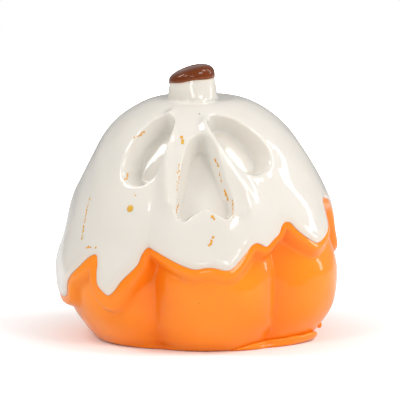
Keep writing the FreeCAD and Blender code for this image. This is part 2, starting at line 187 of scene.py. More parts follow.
class PumpkinFormSettings(PropertyGroup):
    """Sizes of the lobed clay form."""

    groove_depth: length_setting("Groove depth", "Depth of a full groove between two lobes", 2.6)
    lobe_fullness: plain_setting("Lobe fullness", "Lower makes fuller lobes, sharper grooves", 0.75, 0.3, 2)
    lean: length_setting("Lean", "How far the lower part sits towards +X under the crown", 0.45, lowest=-5)
    wobble: length_setting("Wobble", "Unevenness of the hand-finished surface", 0.11)
    columns: IntProperty(name="Columns", description="Mesh columns round the form", default=460, min=60)


class PumpkinIcingSettings(PropertyGroup):
    """Sizes of the white icing, its coat and the orange lip under it."""

    coat: length_setting("Coat", "Thickness of the white coat at its edge", 0.20)
    coat_round: length_setting("Coat rounding", "How far in the coat reaches its thickness", 0.50)
    lip: length_setting("Lip", "Raised band of orange below the white coat", 0.60)
    lip_step: length_setting("Lip step", "Width of the slope from the lip down to the clay", 1.35)
    spacing: length_setting("Point spacing", "Distance between the icing's mesh points", 0.27, lowest=0.05)


class PumpkinFaceSettings(PropertyGroup):
    """Sizes of the eye sockets, the nose and the ridges beside it."""

    slope: angle_setting("Slope", "Lean of the face back from upright", 36)
    eye_depth: length_setting("Eye depth", "Depth of an eye socket's floor", 2.7)
    eye_floor: plain_setting("Eye floor", "Width of the floor as a share of the socket", 0.70, 0.1, 0.95)
    eye_taper: plain_setting("Eye taper", "How much wider a socket is at its lower end", 0.22, 0, 0.6)
    nose_depth: length_setting("Nose depth", "Depth of the nose at its upper end", 3.0)
    nose_foot_depth: length_setting("Nose foot depth", "Depth of the nose at its lower edge", 1.4)
    nose_wall: length_setting("Nose wall", "Width of the sloping wall round the nose", 1.05)


class PumpkinGlazeSettings(PropertyGroup):
    """Colours of the glazes."""

    white: colour_setting("White", "Colour of the icing and the stem", 0.755, 0.715, 0.65)
    # Cream is also painted shade with glaze pooling in the sockets, the nose and at the stem's foot.
    cream: colour_setting("Cream", "Colour where the white coat lies thick", 0.73, 0.665, 0.575)
    orange: colour_setting("Orange", "Colour of the pumpkin's sides", 1.0, 0.285, 0.010)
    # Deep orange is also painted shade with glaze pooling in the grooves, on the lip's slope and near the
    # foot.
    deep_orange: colour_setting("Deep orange", "Colour where the orange pools", 0.90, 0.155, 0.003)
    brown: colour_setting("Brown", "Colour of the stem's tip", 0.112, 0.021, 0.0006)
    speck: colour_setting("Speck", "Colour of the specks", 0.78, 0.36, 0.03)


class PumpkinStageSettings(PropertyGroup):
    """The camera and the light from all round."""

    elevation: angle_setting("Elevation", "Height of the camera over level", 8.7)
    distance: length_setting("Distance", "Camera to the figure", 1000.0, lowest=50.0)
    view_width: length_setting("View width", "What the picture takes in at the figure", 51.6, lowest=1.0)
    ambient: plain_setting("Ambient", "Strength of the light from all round", 0.38, 0, 10)


# ---------------------------------------------------------------- lines and numbers


def smooth_line(points, per_span):
    """A centripetal Catmull-Rom line through points, with per_span points from each one to the next."""
    p = np.array(points, float)
    p = np.vstack([2 * p[0] - p[1], p, 2 * p[-1] - p[-2]])
    pieces = []
    for n in range(1, len(p) - 2):
        p0, p1, p2, p3 = p[n - 1:n + 3]
        t0, t1 = 0.0, math.sqrt(math.dist(p0, p1))
        t2 = t1 + math.sqrt(math.dist(p1, p2))
        t3 = t2 + math.sqrt(math.dist(p2, p3))
        last = n == len(p) - 3
        t = np.linspace(t1, t2, per_span + last, endpoint=last)[:, None]
        a1 = (t1 - t) / (t1 - t0) * p0 + (t - t0) / (t1 - t0) * p1
        a2 = (t2 - t) / (t2 - t1) * p1 + (t - t1) / (t2 - t1) * p2
        a3 = (t3 - t) / (t3 - t2) * p2 + (t - t2) / (t3 - t2) * p3
        b1 = (t2 - t) / (t2 - t0) * a1 + (t - t0) / (t2 - t0) * a2
        b2 = (t3 - t) / (t3 - t1) * a2 + (t - t1) / (t3 - t1) * a3
        pieces.append((t2 - t) / (t2 - t1) * b1 + (t - t1) / (t2 - t1) * b2)
    return np.vstack(pieces)


def lengths_along(line):
    """Distance from a line's first point to each of its points."""
    return np.concatenate([[0.0], np.cumsum(np.linalg.norm(np.diff(line, axis=0), axis=1))])


def step(low, high, value):
    """0 under low, 1 over high, smooth between."""
    t = np.clip((value - low) / (high - low), 0, 1)
    return t * t * (3 - 2 * t)


def soft_clip(value, low_round, high_round):
    """value held between 0 and 1, with rounded bends of those sizes."""
    risen = 0.5 * (value + np.sqrt(value * value + low_round ** 2))
    return 1 - 0.5 * ((1 - risen) + np.sqrt((1 - risen) ** 2 + high_round ** 2))


def line_distance(points, line):
    """Distance from each 2D point to a line of straight pieces."""
    start, along = line[:-1], np.diff(line, axis=0)
    square = np.maximum((along ** 2).sum(1), 1e-12)
    found = np.empty(len(points))
    for n in range(0, len(points), 4000):
        away = points[n:n + 4000, None, :] - start[None]
        share = np.clip((away * along[None]).sum(2) / square[None], 0, 1)
        gap = away - share[:, :, None] * along[None]
        found[n:n + 4000] = np.sqrt((gap ** 2).sum(2).min(1))
    return found


def inside_outline(points, outline):
    """Which 2D points lie inside a closed outline."""
    inside = np.zeros(len(points), bool)
    x, y = points[:, 0], points[:, 1]
    for (x0, y0), (x1, y1) in zip(outline, np.roll(outline, -1, axis=0)):
        if y0 == y1:
            continue
        crosses = (y0 > y) != (y1 > y)
        inside ^= crosses & (x < (x1 - x0) * (y - y0) / (y1 - y0) + x0)
    return inside


# ---------------------------------------------------------------- the form


class Form:
    """The clay form and what is raised on it. Angles are in radians, lengths in millimetres."""

    groove_fill = 0.6           # how much of a groove the icing fills
    groove_round = 0.05         # softness of a groove's bottom
    lean_ends = 0.62, 0.95      # the lean dies out between these shares of the crown's height
    far = 7.0                   # distances from the coat's edge are cut off here
    flat_scale = 0.8            # millimetres round the face for each millimetre round the widest lobes
    wide_drip = -41             # the lip is widest at this angle, in degrees
    drip_spread = 11            # and falls off over this many
    lip_ends = 0.7, 1.6         # under the coat the lip sinks between these distances from its edge
    bead = 0.05, 0.7, 0.4       # height, place and width of a soft bead along the coat's edge
    eye_squareness = 2.3        # 2 makes the sockets oval, more makes them squarer
    eye_round = 0.10            # softness of a socket's edges, as a share of its wall

    def __init__(self, scene):
        self.form = scene.pumpkin_form
        self.icing = scene.pumpkin_icing
        self.face = scene.pumpkin_face
        profile = smooth_line([(r * HALF_WIDTH, z * CROWN) for z, r, _ in reversed(STATIONS)], 40)
        profile[:, 1] = np.minimum.accumulate(np.minimum(profile[:, 1], CROWN))
        self.profile = profile
        self.runs = lengths_along(profile)
        slope = np.gradient(profile, axis=0)
        normal = np.stack([-slope[:, 1], slope[:, 0]], axis=1)
        self.normals = normal / np.linalg.norm(normal, axis=1)[:, None]
        self.edge = self.paint_edge()

    def at_run(self, run):
        """Radius, height and outward direction of the profile at a run."""
        return [np.interp(run, self.runs, column) for column in
                (self.profile[:, 0], self.profile[:, 1], self.normals[:, 0], self.normals[:, 1])]

    def run_at_height(self, height, raised=0.0):
        """The run where the profile, raised by a thickness, is at a height."""
        level = (self.profile[:, 1] + raised * self.normals[:, 1])[::-1]
        return np.interp(height, level, self.runs[::-1])

    def run_at_radius(self, radius):
        """The run on the crown where the profile has a radius."""
        return float(np.interp(radius, self.profile[:, 0], self.runs))

    def grooves(self, angle, height):
        """How far the surface is pulled in: 0 on a lobe's crest, most in a groove."""
        starts = np.array([g[0] for g in GROOVES], float)
        depths = np.array([g[1] for g in GROOVES], float)
        turn = (np.degrees(angle) - starts[0]) % 360 + starts[0]
        which = np.clip(np.searchsorted(starts, turn, side="right") - 1, 0, len(starts) - 1)
        ends = np.append(starts[1:], starts[0] + 360)
        share = (turn - starts[which]) / (ends[which] - starts[which])
        depth = depths[which] * (1 - share) + np.roll(depths, -1)[which] * share
        bulge = np.sqrt(np.sin(math.pi * share) ** 2 + self.groove_round ** 2) ** self.form.lobe_fullness
        levels = np.array([s[0] for s in STATIONS]) * CROWN
        by_height = np.interp(height, levels, [s[2] for s in STATIONS])
        return self.form.groove_depth / MM * depth * by_height * (1 - np.minimum(bulge, 1))

    def uneven(self, angle, run):
        """Slow unevenness of the hand-finished surface."""
        waves = (np.sin(3 * angle + 0.33 * run + 0.5) + np.sin(5 * angle - 0.47 * run + 2.1)
                 + 0.6 * np.sin(9 * angle + 0.62 * run + 4.0) + 0.5 * np.sin(14 * angle - 0.9 * run + 1.0))
        return self.form.wobble / MM * waves / 2 * step(3, 9, run)

    def point(self, angle, run, raised):
        """Points on the form, raised from the clay by a thickness."""
        angle, run, raised = np.broadcast_arrays(angle, run, raised)
        radius, height, out, up = self.at_run(run)
        covered = np.clip(raised / ICING, 0, 1)
        groove = self.grooves(angle, height) * (1 - self.groove_fill * covered)
        reach = radius + raised * out + (self.uneven(angle, run) - groove) * np.clip(out, 0, 1)
        low, high = self.lean_ends
        shift = self.form.lean / MM * (1 - step(low * CROWN, high * CROWN, height))
        level = height + raised * up
        return np.stack([np.sin(angle) * reach + shift, -np.cos(angle) * reach, level], axis=-1)

    # ------------------------------------------------------------ the white coat's edge

    def paint_edge(self):
        """The coat's lower edge once round, as angle and run, from half a turn left to half a turn right."""
        lap = [(a, self.run_at_height(z, ICING)) for a, z in PAINT_EDGE]
        lap = [(a - 360, r) for a, r in lap if a > 150] + lap + [(a + 360, r) for a, r in lap if a < -40]
        scaled = np.array([(math.radians(a) * HALF_WIDTH, r) for a, r in lap])
        line = smooth_line(scaled, 30)
        ends = math.pi * HALF_WIDTH
        at_ends = np.interp([-ends, ends], line[:, 0], line[:, 1])
        middle = line[(line[:, 0] > -ends + 0.05) & (line[:, 0] < ends - 0.05)]
        close = (at_ends[0] + at_ends[1]) / 2
        line = np.vstack([[-ends, close], middle, [ends, close]])
        along = lengths_along(line)
        evenly = np.linspace(0, along[-1], int(along[-1] / 0.2))
        return np.stack([np.interp(evenly, along, line[:, k]) for k in (0, 1)], axis=1)

    def inside_coat(self, angle, run):
        """Distance in from the coat's edge, negative below it."""
        across = (np.asarray(angle) + math.pi) % (2 * math.pi) - math.pi
        flat = np.stack([across * HALF_WIDTH, np.asarray(run, float)], axis=-1).reshape(-1, 2)
        edge_run = np.interp(flat[:, 0], self.edge[:, 0], self.edge[:, 1])
        near = np.abs(flat[:, 1] - edge_run) < self.far
        lap = 2 * math.pi * HALF_WIDTH
        wrapped = np.vstack([self.edge[-40:-1] - [lap, 0], self.edge, self.edge[1:40] + [lap, 0]])
        gap = np.full(len(flat), self.far)
        gap[near] = line_distance(flat[near], wrapped)
        return np.where(flat[:, 1] < edge_run, gap, -gap).reshape(np.shape(across))

    def lip(self, inside, angle):
        """How far the orange is raised at a distance inside the coat's edge. It is widest round one drip."""
        at_drip = np.exp(-((np.degrees(angle) - self.wide_drip) / self.drip_spread) ** 2)
        wide = self.icing.lip / MM * (1 + 1.4 * at_drip)
        below = 1 - step(wide, wide + self.icing.lip_step / MM, -inside)
        under = 1 - step(*self.lip_ends, inside)
        return ICING * below * under

    def coat(self, inside):
        """Thickness of the white coat at a distance inside its edge."""
        share = np.clip(inside / (self.icing.coat_round / MM), 0, 1)
        high, place, wide = self.bead
        bead = high * np.exp(-((inside - place) / wide) ** 2)
        return self.icing.coat / MM * np.sqrt(1 - (1 - share) ** 2) + bead * share - TUCK * (share == 0)

    # ------------------------------------------------------------ the face

    def face_axes(self, angle, roll=0.0):
        """Across, up and out of the face at an angle from the front, turned about out by a roll."""
        sin, cos = math.sin(angle), math.cos(angle)
        lean_sin, lean_cos = math.sin(self.face.slope), math.cos(self.face.slope)
        across = np.array([cos, sin, 0])
        up = np.array([-sin * lean_sin, cos * lean_sin, lean_cos])
        out = np.array([sin * lean_cos, -cos * lean_cos, lean_sin])
        turned_across = across * math.cos(roll) + up * math.sin(roll)
        turned_up = up * math.cos(roll) - across * math.sin(roll)
        return turned_across, turned_up, out

    def eye_push(self, place, eye):
        """How an eye socket moves points of the icing."""
        side, spread, height, roll, half_length, half_width = eye
        angle = math.radians(side * spread)
        centre = self.point(angle, self.run_at_height(height, ICING), ICING)
        across, along, out = self.face_axes(angle, math.radians(side * roll))
        away = place - centre
        a, b = away @ along / half_length, away @ across / half_width
        b = b / (1 - self.face.eye_taper * a)
        power = self.eye_squareness
        reach = np.power(np.abs(a) ** power + np.abs(b) ** power, 1 / power)
        wall = (1 - reach) / (1 - self.face.eye_floor)
        depth = self.face.eye_depth / MM * soft_clip(wall, self.eye_round, self.eye_round)
        # Points behind the face or well outside the socket stay where they are.
        depth = depth * (away @ out > -6) * (reach < 1.6)
        return -depth[..., None] * out

    def nose_push(self, place):
        """How the nose moves points of the icing."""
        origin = self.point(0.0, self.run_at_height(NOSE_HEIGHT, ICING), ICING)
        across, up, out = self.face_axes(0.0)
        away = place - origin
        flat = np.stack([away @ across, away @ up], axis=-1)
        # Only points on the face and round the outline can lie in the nose.
        near = (np.abs(flat[:, 0]) < 7) & (flat[:, 1] > -3) & (flat[:, 1] < 15) & (away @ out > -7)
        outline = smooth_line(NOSE + NOSE[:1], 12)[:-1]
        wall = np.full(len(flat), -3.0)
        gap = line_distance(flat[near], np.vstack([outline, outline[:1]]))
        wall[near] = np.where(inside_outline(flat[near], outline), gap, -gap)
        high = np.clip(flat[:, 1] / NOSE_LENGTH, 0, 1)
        width = self.face.nose_wall / MM * (0.55 + 0.75 * high)
        deep = self.face.nose_foot_depth / MM * (1 - high) + self.face.nose_depth / MM * high
        depth = deep * soft_clip(wall / width, 0.09, 0.08) * near
        return -depth[..., None] * out

    def ridge_push(self, angle, run):
        """How the ridges beside the nose move points of the icing."""
        round_face = HALF_WIDTH * self.flat_scale
        flat = np.stack([angle * round_face, run], axis=-1)
        lift = np.zeros(len(flat))
        near = np.abs(angle) < FACE_ANGLE
        for height, width, points in RIDGES:
            line = [(math.radians(a) * round_face, self.run_at_height(z, ICING)) for a, z in points]
            gap = np.full(len(flat), 9.0)
            gap[near] = line_distance(flat[near], smooth_line(line, 10))
            lift += height * np.exp(-(gap / width) ** 2)
        out = self.face_axes(0.0)[2]
        return lift[:, None] * out

    def steepness(self, angle, run):
        """How steeply the face's shapes rise or fall at these angles and runs."""
        small = 0.08
        here = self.push(angle, run)
        aside = self.push(angle + small / HALF_WIDTH, run) - here
        below = self.push(angle, run + small) - here
        return np.sqrt((aside ** 2 + below ** 2).sum(-1)) / small

    def push(self, angle, run):
        """How the face moves every layer at these angles and runs."""
        shape = np.shape(angle)
        angle, run = np.ravel(angle), np.ravel(run)
        place = self.point(angle, run, ICING)
        moved = self.nose_push(place) + self.ridge_push(angle, run)
        for eye in EYES:
            moved += self.eye_push(place, eye)
        return moved.reshape(shape + (3,))


# ---------------------------------------------------------------- meshes


def new_object(name, data):
    """A new object in the scene."""
    made = bpy.data.objects.new(name, data)
    bpy.context.scene.collection.objects.link(made)
    return made


def make_piece(name, points, faces, material, node):
    """A finished piece on the only body, from points in millimetres, standing for a CAD node."""
    mesh = bpy.data.meshes.new(name)
    mesh.from_pydata((np.asarray(points) * MM).tolist(), [], [list(map(int, f)) for f in faces])
    mesh.validate()
    mesh.update()
    mesh.shade_smooth()
    mesh.materials.append(material)
    piece = new_object(name, mesh)
    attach(piece, "root")
    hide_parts(node)
    return piece


def add_values(piece, name, values):
    """Stores one number for each point of a piece, for its material."""
    layer = piece.data.attributes.new(name, "FLOAT", "POINT")
    layer.data.foreach_set("value", np.asarray(values, np.float32).ravel())


def ring_faces(rows, columns):
    """Faces between rings of points that close on themselves, facing outwards when rows go downwards."""
    faces = []
    for row in range(rows - 1):
        upper, lower = row * columns, (row + 1) * columns
        for column in range(columns):
            after = (column + 1) % columns
            faces.append((upper + column, lower + column, lower + after, upper + after))
    return faces


def capped(rings):
    """Points and faces of rings that go downwards, closed with a fan at both ends."""
    rows, columns = rings.shape[:2]
    points = np.vstack([rings.reshape(-1, 3), rings[0].mean(0)[None], rings[-1].mean(0)[None]])
    top, bottom = rows * columns, rows * columns + 1
    faces = ring_faces(rows, columns)
    last = (rows - 1) * columns
    for column in range(columns):
        after = (column + 1) % columns
        faces.append((top, column, after))
        faces.append((bottom, last + after, last + column))
    return points, faces


def crowded(even):
    """Angles made from even ones, about twice as close together at the front as at the back."""
    return even - CROWDING * np.sin(even)


def directions(angle):
    """Unit steps outwards from the Z axis at these angles, as X and Y."""
    return np.column_stack([np.sin(angle), -np.cos(angle)])


def level_ring(flat, height):
    """Points of a ring from their X and Y and one height."""
    return np.column_stack([flat, np.full(len(flat), height)])


# ---------------------------------------------------------------- shader groups


def add_node(tree, kind, inputs=None, **settings):
    """A node with its settings. Each input is linked to a socket or takes a value."""
    node = tree.nodes.new(kind)
    for name, value in settings.items():
        setattr(node, name, value)
    for key, value in (inputs or {}).items():
        if isinstance(value, bpy.types.NodeSocket):
            tree.links.new(value, node.inputs[key])
        elif value is not None:
            node.inputs[key].default_value = value
    return node


def new_group(name, inputs, outputs):
    """An empty shader group with its inputs, outputs and their two nodes."""
    group = bpy.data.node_groups.new(name, "ShaderNodeTree")
    for label, kind, default in inputs:
        socket = group.interface.new_socket(label, in_out="INPUT", socket_type=kind)
        if default is not None:
            socket.default_value = default
    for label, kind in outputs:
        group.interface.new_socket(label, in_out="OUTPUT", socket_type=kind)
    return group, group.nodes.new("NodeGroupInput"), group.nodes.new("NodeGroupOutput")


def math_node(tree, operation, first, second=None, clamp=False):
    """What a math node makes of sockets or numbers."""
    return add_node(tree, "ShaderNodeMath", {0: first, 1: second}, operation=operation,
                    use_clamp=clamp).outputs[0]


def mix_colour(tree, factor, first, second):
    """A mix of two colours, each a socket or its red, green and blue."""
    first, second = (colour if isinstance(colour, bpy.types.NodeSocket) else (*colour[:3], 1)
                     for colour in (first, second))
    return add_node(tree, "ShaderNodeMix", {0: factor, 6: first, 7: second}, data_type="RGBA").outputs[2]


def noise(tree, coordinates, scale, detail):
    """A noise texture's value."""
    return add_node(tree, "ShaderNodeTexNoise", {"Vector": coordinates, "Scale": scale, "Detail": detail,
                                                 "Roughness": 0.5}).outputs["Fac"]


def mottle_group():
    """Slow and fine unevenness of a glaze: a mask for its colour and a height for its surface."""
    group, start, end = new_group(
        "glaze_mottle",
        [("Coordinates", "NodeSocketVector", None), ("Scale", "NodeSocketFloat", 220.0)],
        [("Mask", "NodeSocketFloat"), ("Height", "NodeSocketFloat")])
    place, scale = start.outputs["Coordinates"], start.outputs["Scale"]
    slow = noise(group, place, scale, 2.0)
    fine = noise(group, place, math_node(group, "MULTIPLY", scale, 7.0), 2.0)
    spread = math_node(group, "MULTIPLY", math_node(group, "SUBTRACT", slow, 0.36), 3.2, clamp=True)
    mask = math_node(group, "ADD", math_node(group, "MULTIPLY", spread, 0.8),
                     math_node(group, "MULTIPLY", fine, 0.2), clamp=True)
    height = math_node(group, "ADD", slow, math_node(group, "MULTIPLY", fine, 0.10))
    group.links.new(mask, end.inputs["Mask"])
    group.links.new(height, end.inputs["Height"])
    return group


def pinhole_group():
    """Burst bubbles: a few tiny pits scattered over a glaze."""
    group, start, end = new_group(
        "glaze_pinholes",
        [("Coordinates", "NodeSocketVector", None), ("Scale", "NodeSocketFloat", 300.0),
         ("Size", "NodeSocketFloat", 0.05), ("Share", "NodeSocketFloat", 0.2)],
        [("Mask", "NodeSocketFloat")])
    cells = add_node(group, "ShaderNodeTexVoronoi",
                     {"Vector": start.outputs["Coordinates"], "Scale": start.outputs["Scale"]})
    split = add_node(group, "ShaderNodeSeparateColor", {"Color": cells.outputs["Color"]})
    chosen = math_node(group, "LESS_THAN", split.outputs["Red"], start.outputs["Share"])
    radius = math_node(group, "MULTIPLY", split.outputs["Green"], start.outputs["Size"])
    pit = math_node(group, "LESS_THAN", cells.outputs["Distance"], radius)
    group.links.new(math_node(group, "MULTIPLY", chosen, pit), end.inputs["Mask"])
    return group


def group_node(tree, name, builder, coordinates, **values):
    """A group placed in a material with its own values. The first use builds the group."""
    group = bpy.data.node_groups.get(name) or builder()
    return add_node(tree, "ShaderNodeGroup", {"Coordinates": coordinates, **values}, node_tree=group)


# ---------------------------------------------------------------- materials


def new_material(name):
    """A material with its node tree, its shader and the coordinates that its patterns use."""
    material = bpy.data.materials.new(name)
    material.use_nodes = True
    tree = material.node_tree
    place = add_node(tree, "ShaderNodeTexCoord").outputs["Object"]
    return material, tree, tree.nodes["Principled BSDF"], place


def attribute(tree, name):
    return add_node(tree, "ShaderNodeAttribute", attribute_name=name).outputs["Fac"]


def set_glaze(shader, coat_roughness, coat=0.65, subsurface=0.0, subsurface_scale=1.0 * MM):
    """What is the same all over a glazed surface."""
    values = {
        "IOR": 1.5,
        "Coat Weight": coat,
        "Coat Roughness": coat_roughness,
        "Coat IOR": 1.45,
        "Specular IOR Level": 0.1,
        "Subsurface Weight": subsurface,
        "Subsurface Scale": subsurface_scale,
        "Subsurface Radius": (1.0, 0.75, 0.5),
    }
    for name, value in values.items():
        shader.inputs[name].default_value = value


def new_glaze(name, mottle_scale, roughness, pits=None, bump=0.10 * MM, **surface):
    """A mottled glaze: its material, tree and shader, its mottle and its pinholes, if it has any.

    roughness is the least of it and what the mottle adds. pits are the pinholes' scale, size and share.
    """
    material, tree, shader, place = new_material(name)
    group = group_node(tree, "glaze_mottle", mottle_group, place, Scale=mottle_scale)
    mottle, height = group.outputs["Mask"], group.outputs["Height"]
    pinholes = None
    if pits:
        scale, size, share = pits
        pinholes = group_node(tree, "glaze_pinholes", pinhole_group, place, Scale=scale, Size=size,
                              Share=share).outputs["Mask"]
        height = math_node(tree, "ADD", height, math_node(tree, "MULTIPLY", pinholes, -0.3))
    least, added = roughness
    rough = math_node(tree, "ADD", least, math_node(tree, "MULTIPLY", mottle, added))
    tree.links.new(rough, shader.inputs["Roughness"])
    set_glaze(shader, **surface)
    bumps = add_node(tree, "ShaderNodeBump", {"Strength": 1.0, "Distance": bump, "Height": height})
    normal = bumps.outputs["Normal"]
    tree.links.new(normal, shader.inputs["Normal"])
    tree.links.new(normal, shader.inputs["Coat Normal"])
    return material, tree, shader, mottle, pinholes


def second_shade(tree, mottle, mottled, pooled_and_shaded):
    """How far a glaze goes to its second colour, from shares of its mottle and of where it pools, a mask that
    also paints shade into grooves, recesses and the foot.
    """
    return math_node(tree, "ADD", math_node(tree, "MULTIPLY", mottle, mottled),
                     math_node(tree, "MULTIPLY", attribute(tree, "pool_and_shade"), pooled_and_shaded), clamp=True)


def white_glaze(glaze):
    """Warm white glaze: creamier with its mottle and where it lies thick, a mask that also paints shade into
    the sockets, the nose and the stem's foot; flushed with orange along its edge.
    """
    material, tree, shader, mottle, pits = new_glaze(
        "glossy_white", 190.0, (0.28, 0.12), (420.0, 0.085, 0.10), coat_roughness=0.025, coat=1.0,
        subsurface=0.18)
    colour = mix_colour(tree, second_shade(tree, mottle, 0.30, 0.75), glaze.white, glaze.cream)
    flush = math_node(tree, "MULTIPLY", attribute(tree, "flush"), 0.30)
    colour = mix_colour(tree, flush, colour, (0.90, 0.52, 0.30))
    colour = mix_colour(tree, pits, colour, (0.30, 0.20, 0.12))
    tree.links.new(colour, shader.inputs["Base Color"])
    return material


def orange_glaze(glaze):
    """Orange glaze: deeper where it pools, a mask that also paints shade into the grooves, onto the lip's
    slope and near the foot; paler over the crests.
    """
    material, tree, shader, mottle, pits = new_glaze(
        "glossy_orange", 150.0, (0.30, 0.12), (330.0, 0.09, 0.14), coat_roughness=0.03, subsurface=0.10,
        subsurface_scale=0.7 * MM)
    colour = mix_colour(tree, second_shade(tree, mottle, 0.22, 0.5), glaze.orange, glaze.deep_orange)
    colour = mix_colour(tree, pits, colour, (0.28, 0.05, 0.01))
    tree.links.new(colour, shader.inputs["Base Color"])
    return material


def brown_glaze(glaze):
    """Brown glaze: brushed on, thin and redder along its lower edge."""
    material, tree, shader, mottle, _ = new_glaze("glossy_brown", 420.0, (0.30, 0.10), bump=0.03 * MM,
                                                  coat_roughness=0.03)
    colour = mix_colour(tree, mottle, glaze.brown, [c * 1.7 for c in glaze.brown])
    colour = mix_colour(tree, attribute(tree, "thin"), colour, (0.28, 0.065, 0.008))
    tree.links.new(colour, shader.inputs["Base Color"])
    return material


def speck_glaze(glaze):
    """Specks of orange glaze, some of them yellow where they are thin."""
    material, tree, shader, place = new_material("glossy_specks")
    tone = math_node(tree, "SUBTRACT", noise(tree, place, 330.0, 1.0), 0.42)
    tone = math_node(tree, "MULTIPLY", tone, 5.0, clamp=True)
    tree.links.new(mix_colour(tree, tone, glaze.speck, (0.72, 0.42, 0.06)), shader.inputs["Base Color"])
    shader.inputs["Roughness"].default_value = 0.3
    set_glaze(shader, 0.03)
    return material


def shared_material(name, builder):
    """The material of that name, made the first time that a piece asks for it."""
    return bpy.data.materials.get(name) or builder(bpy.context.scene.pumpkin_glaze)


# ---------------------------------------------------------------- pieces


class PUMPKIN_OT_body(Operator):
    """Builds the orange clay casting: lobes, the raised lip under the icing, foot ring, vent and hollow"""

    bl_idname = "pumpkin.body"
    bl_label = "Pumpkin body"

    split_height = 19.5         # the clay is hidden by the icing above it, and has fewer rows of points there
    hidden_rows = 36
    shown_rows = 96
    crown_radius = 0.4          # the first row on the crown
    under_coat = 0.02           # the clay lies this far inside the icing's inner side

    def execute(self, context):
        form = Form(context.scene)
        columns = context.scene.pumpkin_form.columns
        split = form.run_at_height(self.split_height, ICING)
        hidden = np.linspace(form.run_at_radius(self.crown_radius), split, self.hidden_rows, endpoint=False)
        shown = np.linspace(split, form.runs[-1], self.shown_rows)
        angle, run = np.meshgrid(crowded(np.linspace(-math.pi, math.pi, columns, endpoint=False)),
                                 np.concatenate([hidden, shown]))
        inside = form.inside_coat(angle, run)
        lip = form.lip(inside, angle)
        raised = lip - self.under_coat * (inside > 0)
        outer = form.point(angle, run, raised) + form.push(angle, run) * (inside > 0)[..., None]
        groove = form.grooves(angle, form.at_run(run)[1]) / (form.form.groove_depth / MM)

        under = self.underside(outer[-1])
        points, faces = capped(np.concatenate([outer, under]))
        piece = make_piece("pumpkin_casting", points, faces,
                           shared_material("glossy_orange", orange_glaze), "pumpkin_body")
        # The mask paints shade with the glaze's pooling: deeper orange in the grooves, near the foot and on
        # the lip's slope below the white coat.
        foot = 1 - step(0.3, 2.2, outer[..., 2])
        slope = step(0.0, 0.25, lip / ICING) * (1 - step(0.25, 0.7, lip / ICING))
        pool_and_shade = np.clip(1.1 * groove + 0.2 * foot + 0.35 * slope * (inside < 0), 0, 1)
        add_values(piece, "pool_and_shade", np.concatenate([pool_and_shade.ravel(), np.zeros(under[..., 0].size + 2)]))
        return {"FINISHED"}

    @staticmethod
    def underside(rim):
        """Rings from the foot's outer edge in over the foot ring, up the vent and round the hollow."""
        recess_radius, recess, vent_radius, floor, ceiling = 11.3, 0.6, 2.0, 3.6, 22.3
        direction = directions(np.arctan2(rim[:, 0], -rim[:, 1]))
        rings = []
        for share in (0.4, 0.8):
            flat = rim[:, :2] * (1 - share) + direction * recess_radius * share
            rings.append(level_ring(flat, 0.0))
        middle, half = (ceiling + floor) / 2, (ceiling - floor) / 2
        wall = 5.0
        hollow_radius = HALF_WIDTH - wall
        profile = [(recess_radius, 0.0), (recess_radius, recess), (8.0, recess), (5.0, recess),
                   (vent_radius, recess), (vent_radius, 2.2)]
        lowest = math.asin(vent_radius / hollow_radius)
        for turn in np.linspace(lowest + 0.02, math.pi - 0.05, 15):
            profile.append((hollow_radius * math.sin(turn), middle - half * math.cos(turn)))
        rings += [level_ring(direction * radius, height) for radius, height in profile]
        return np.array(rings)


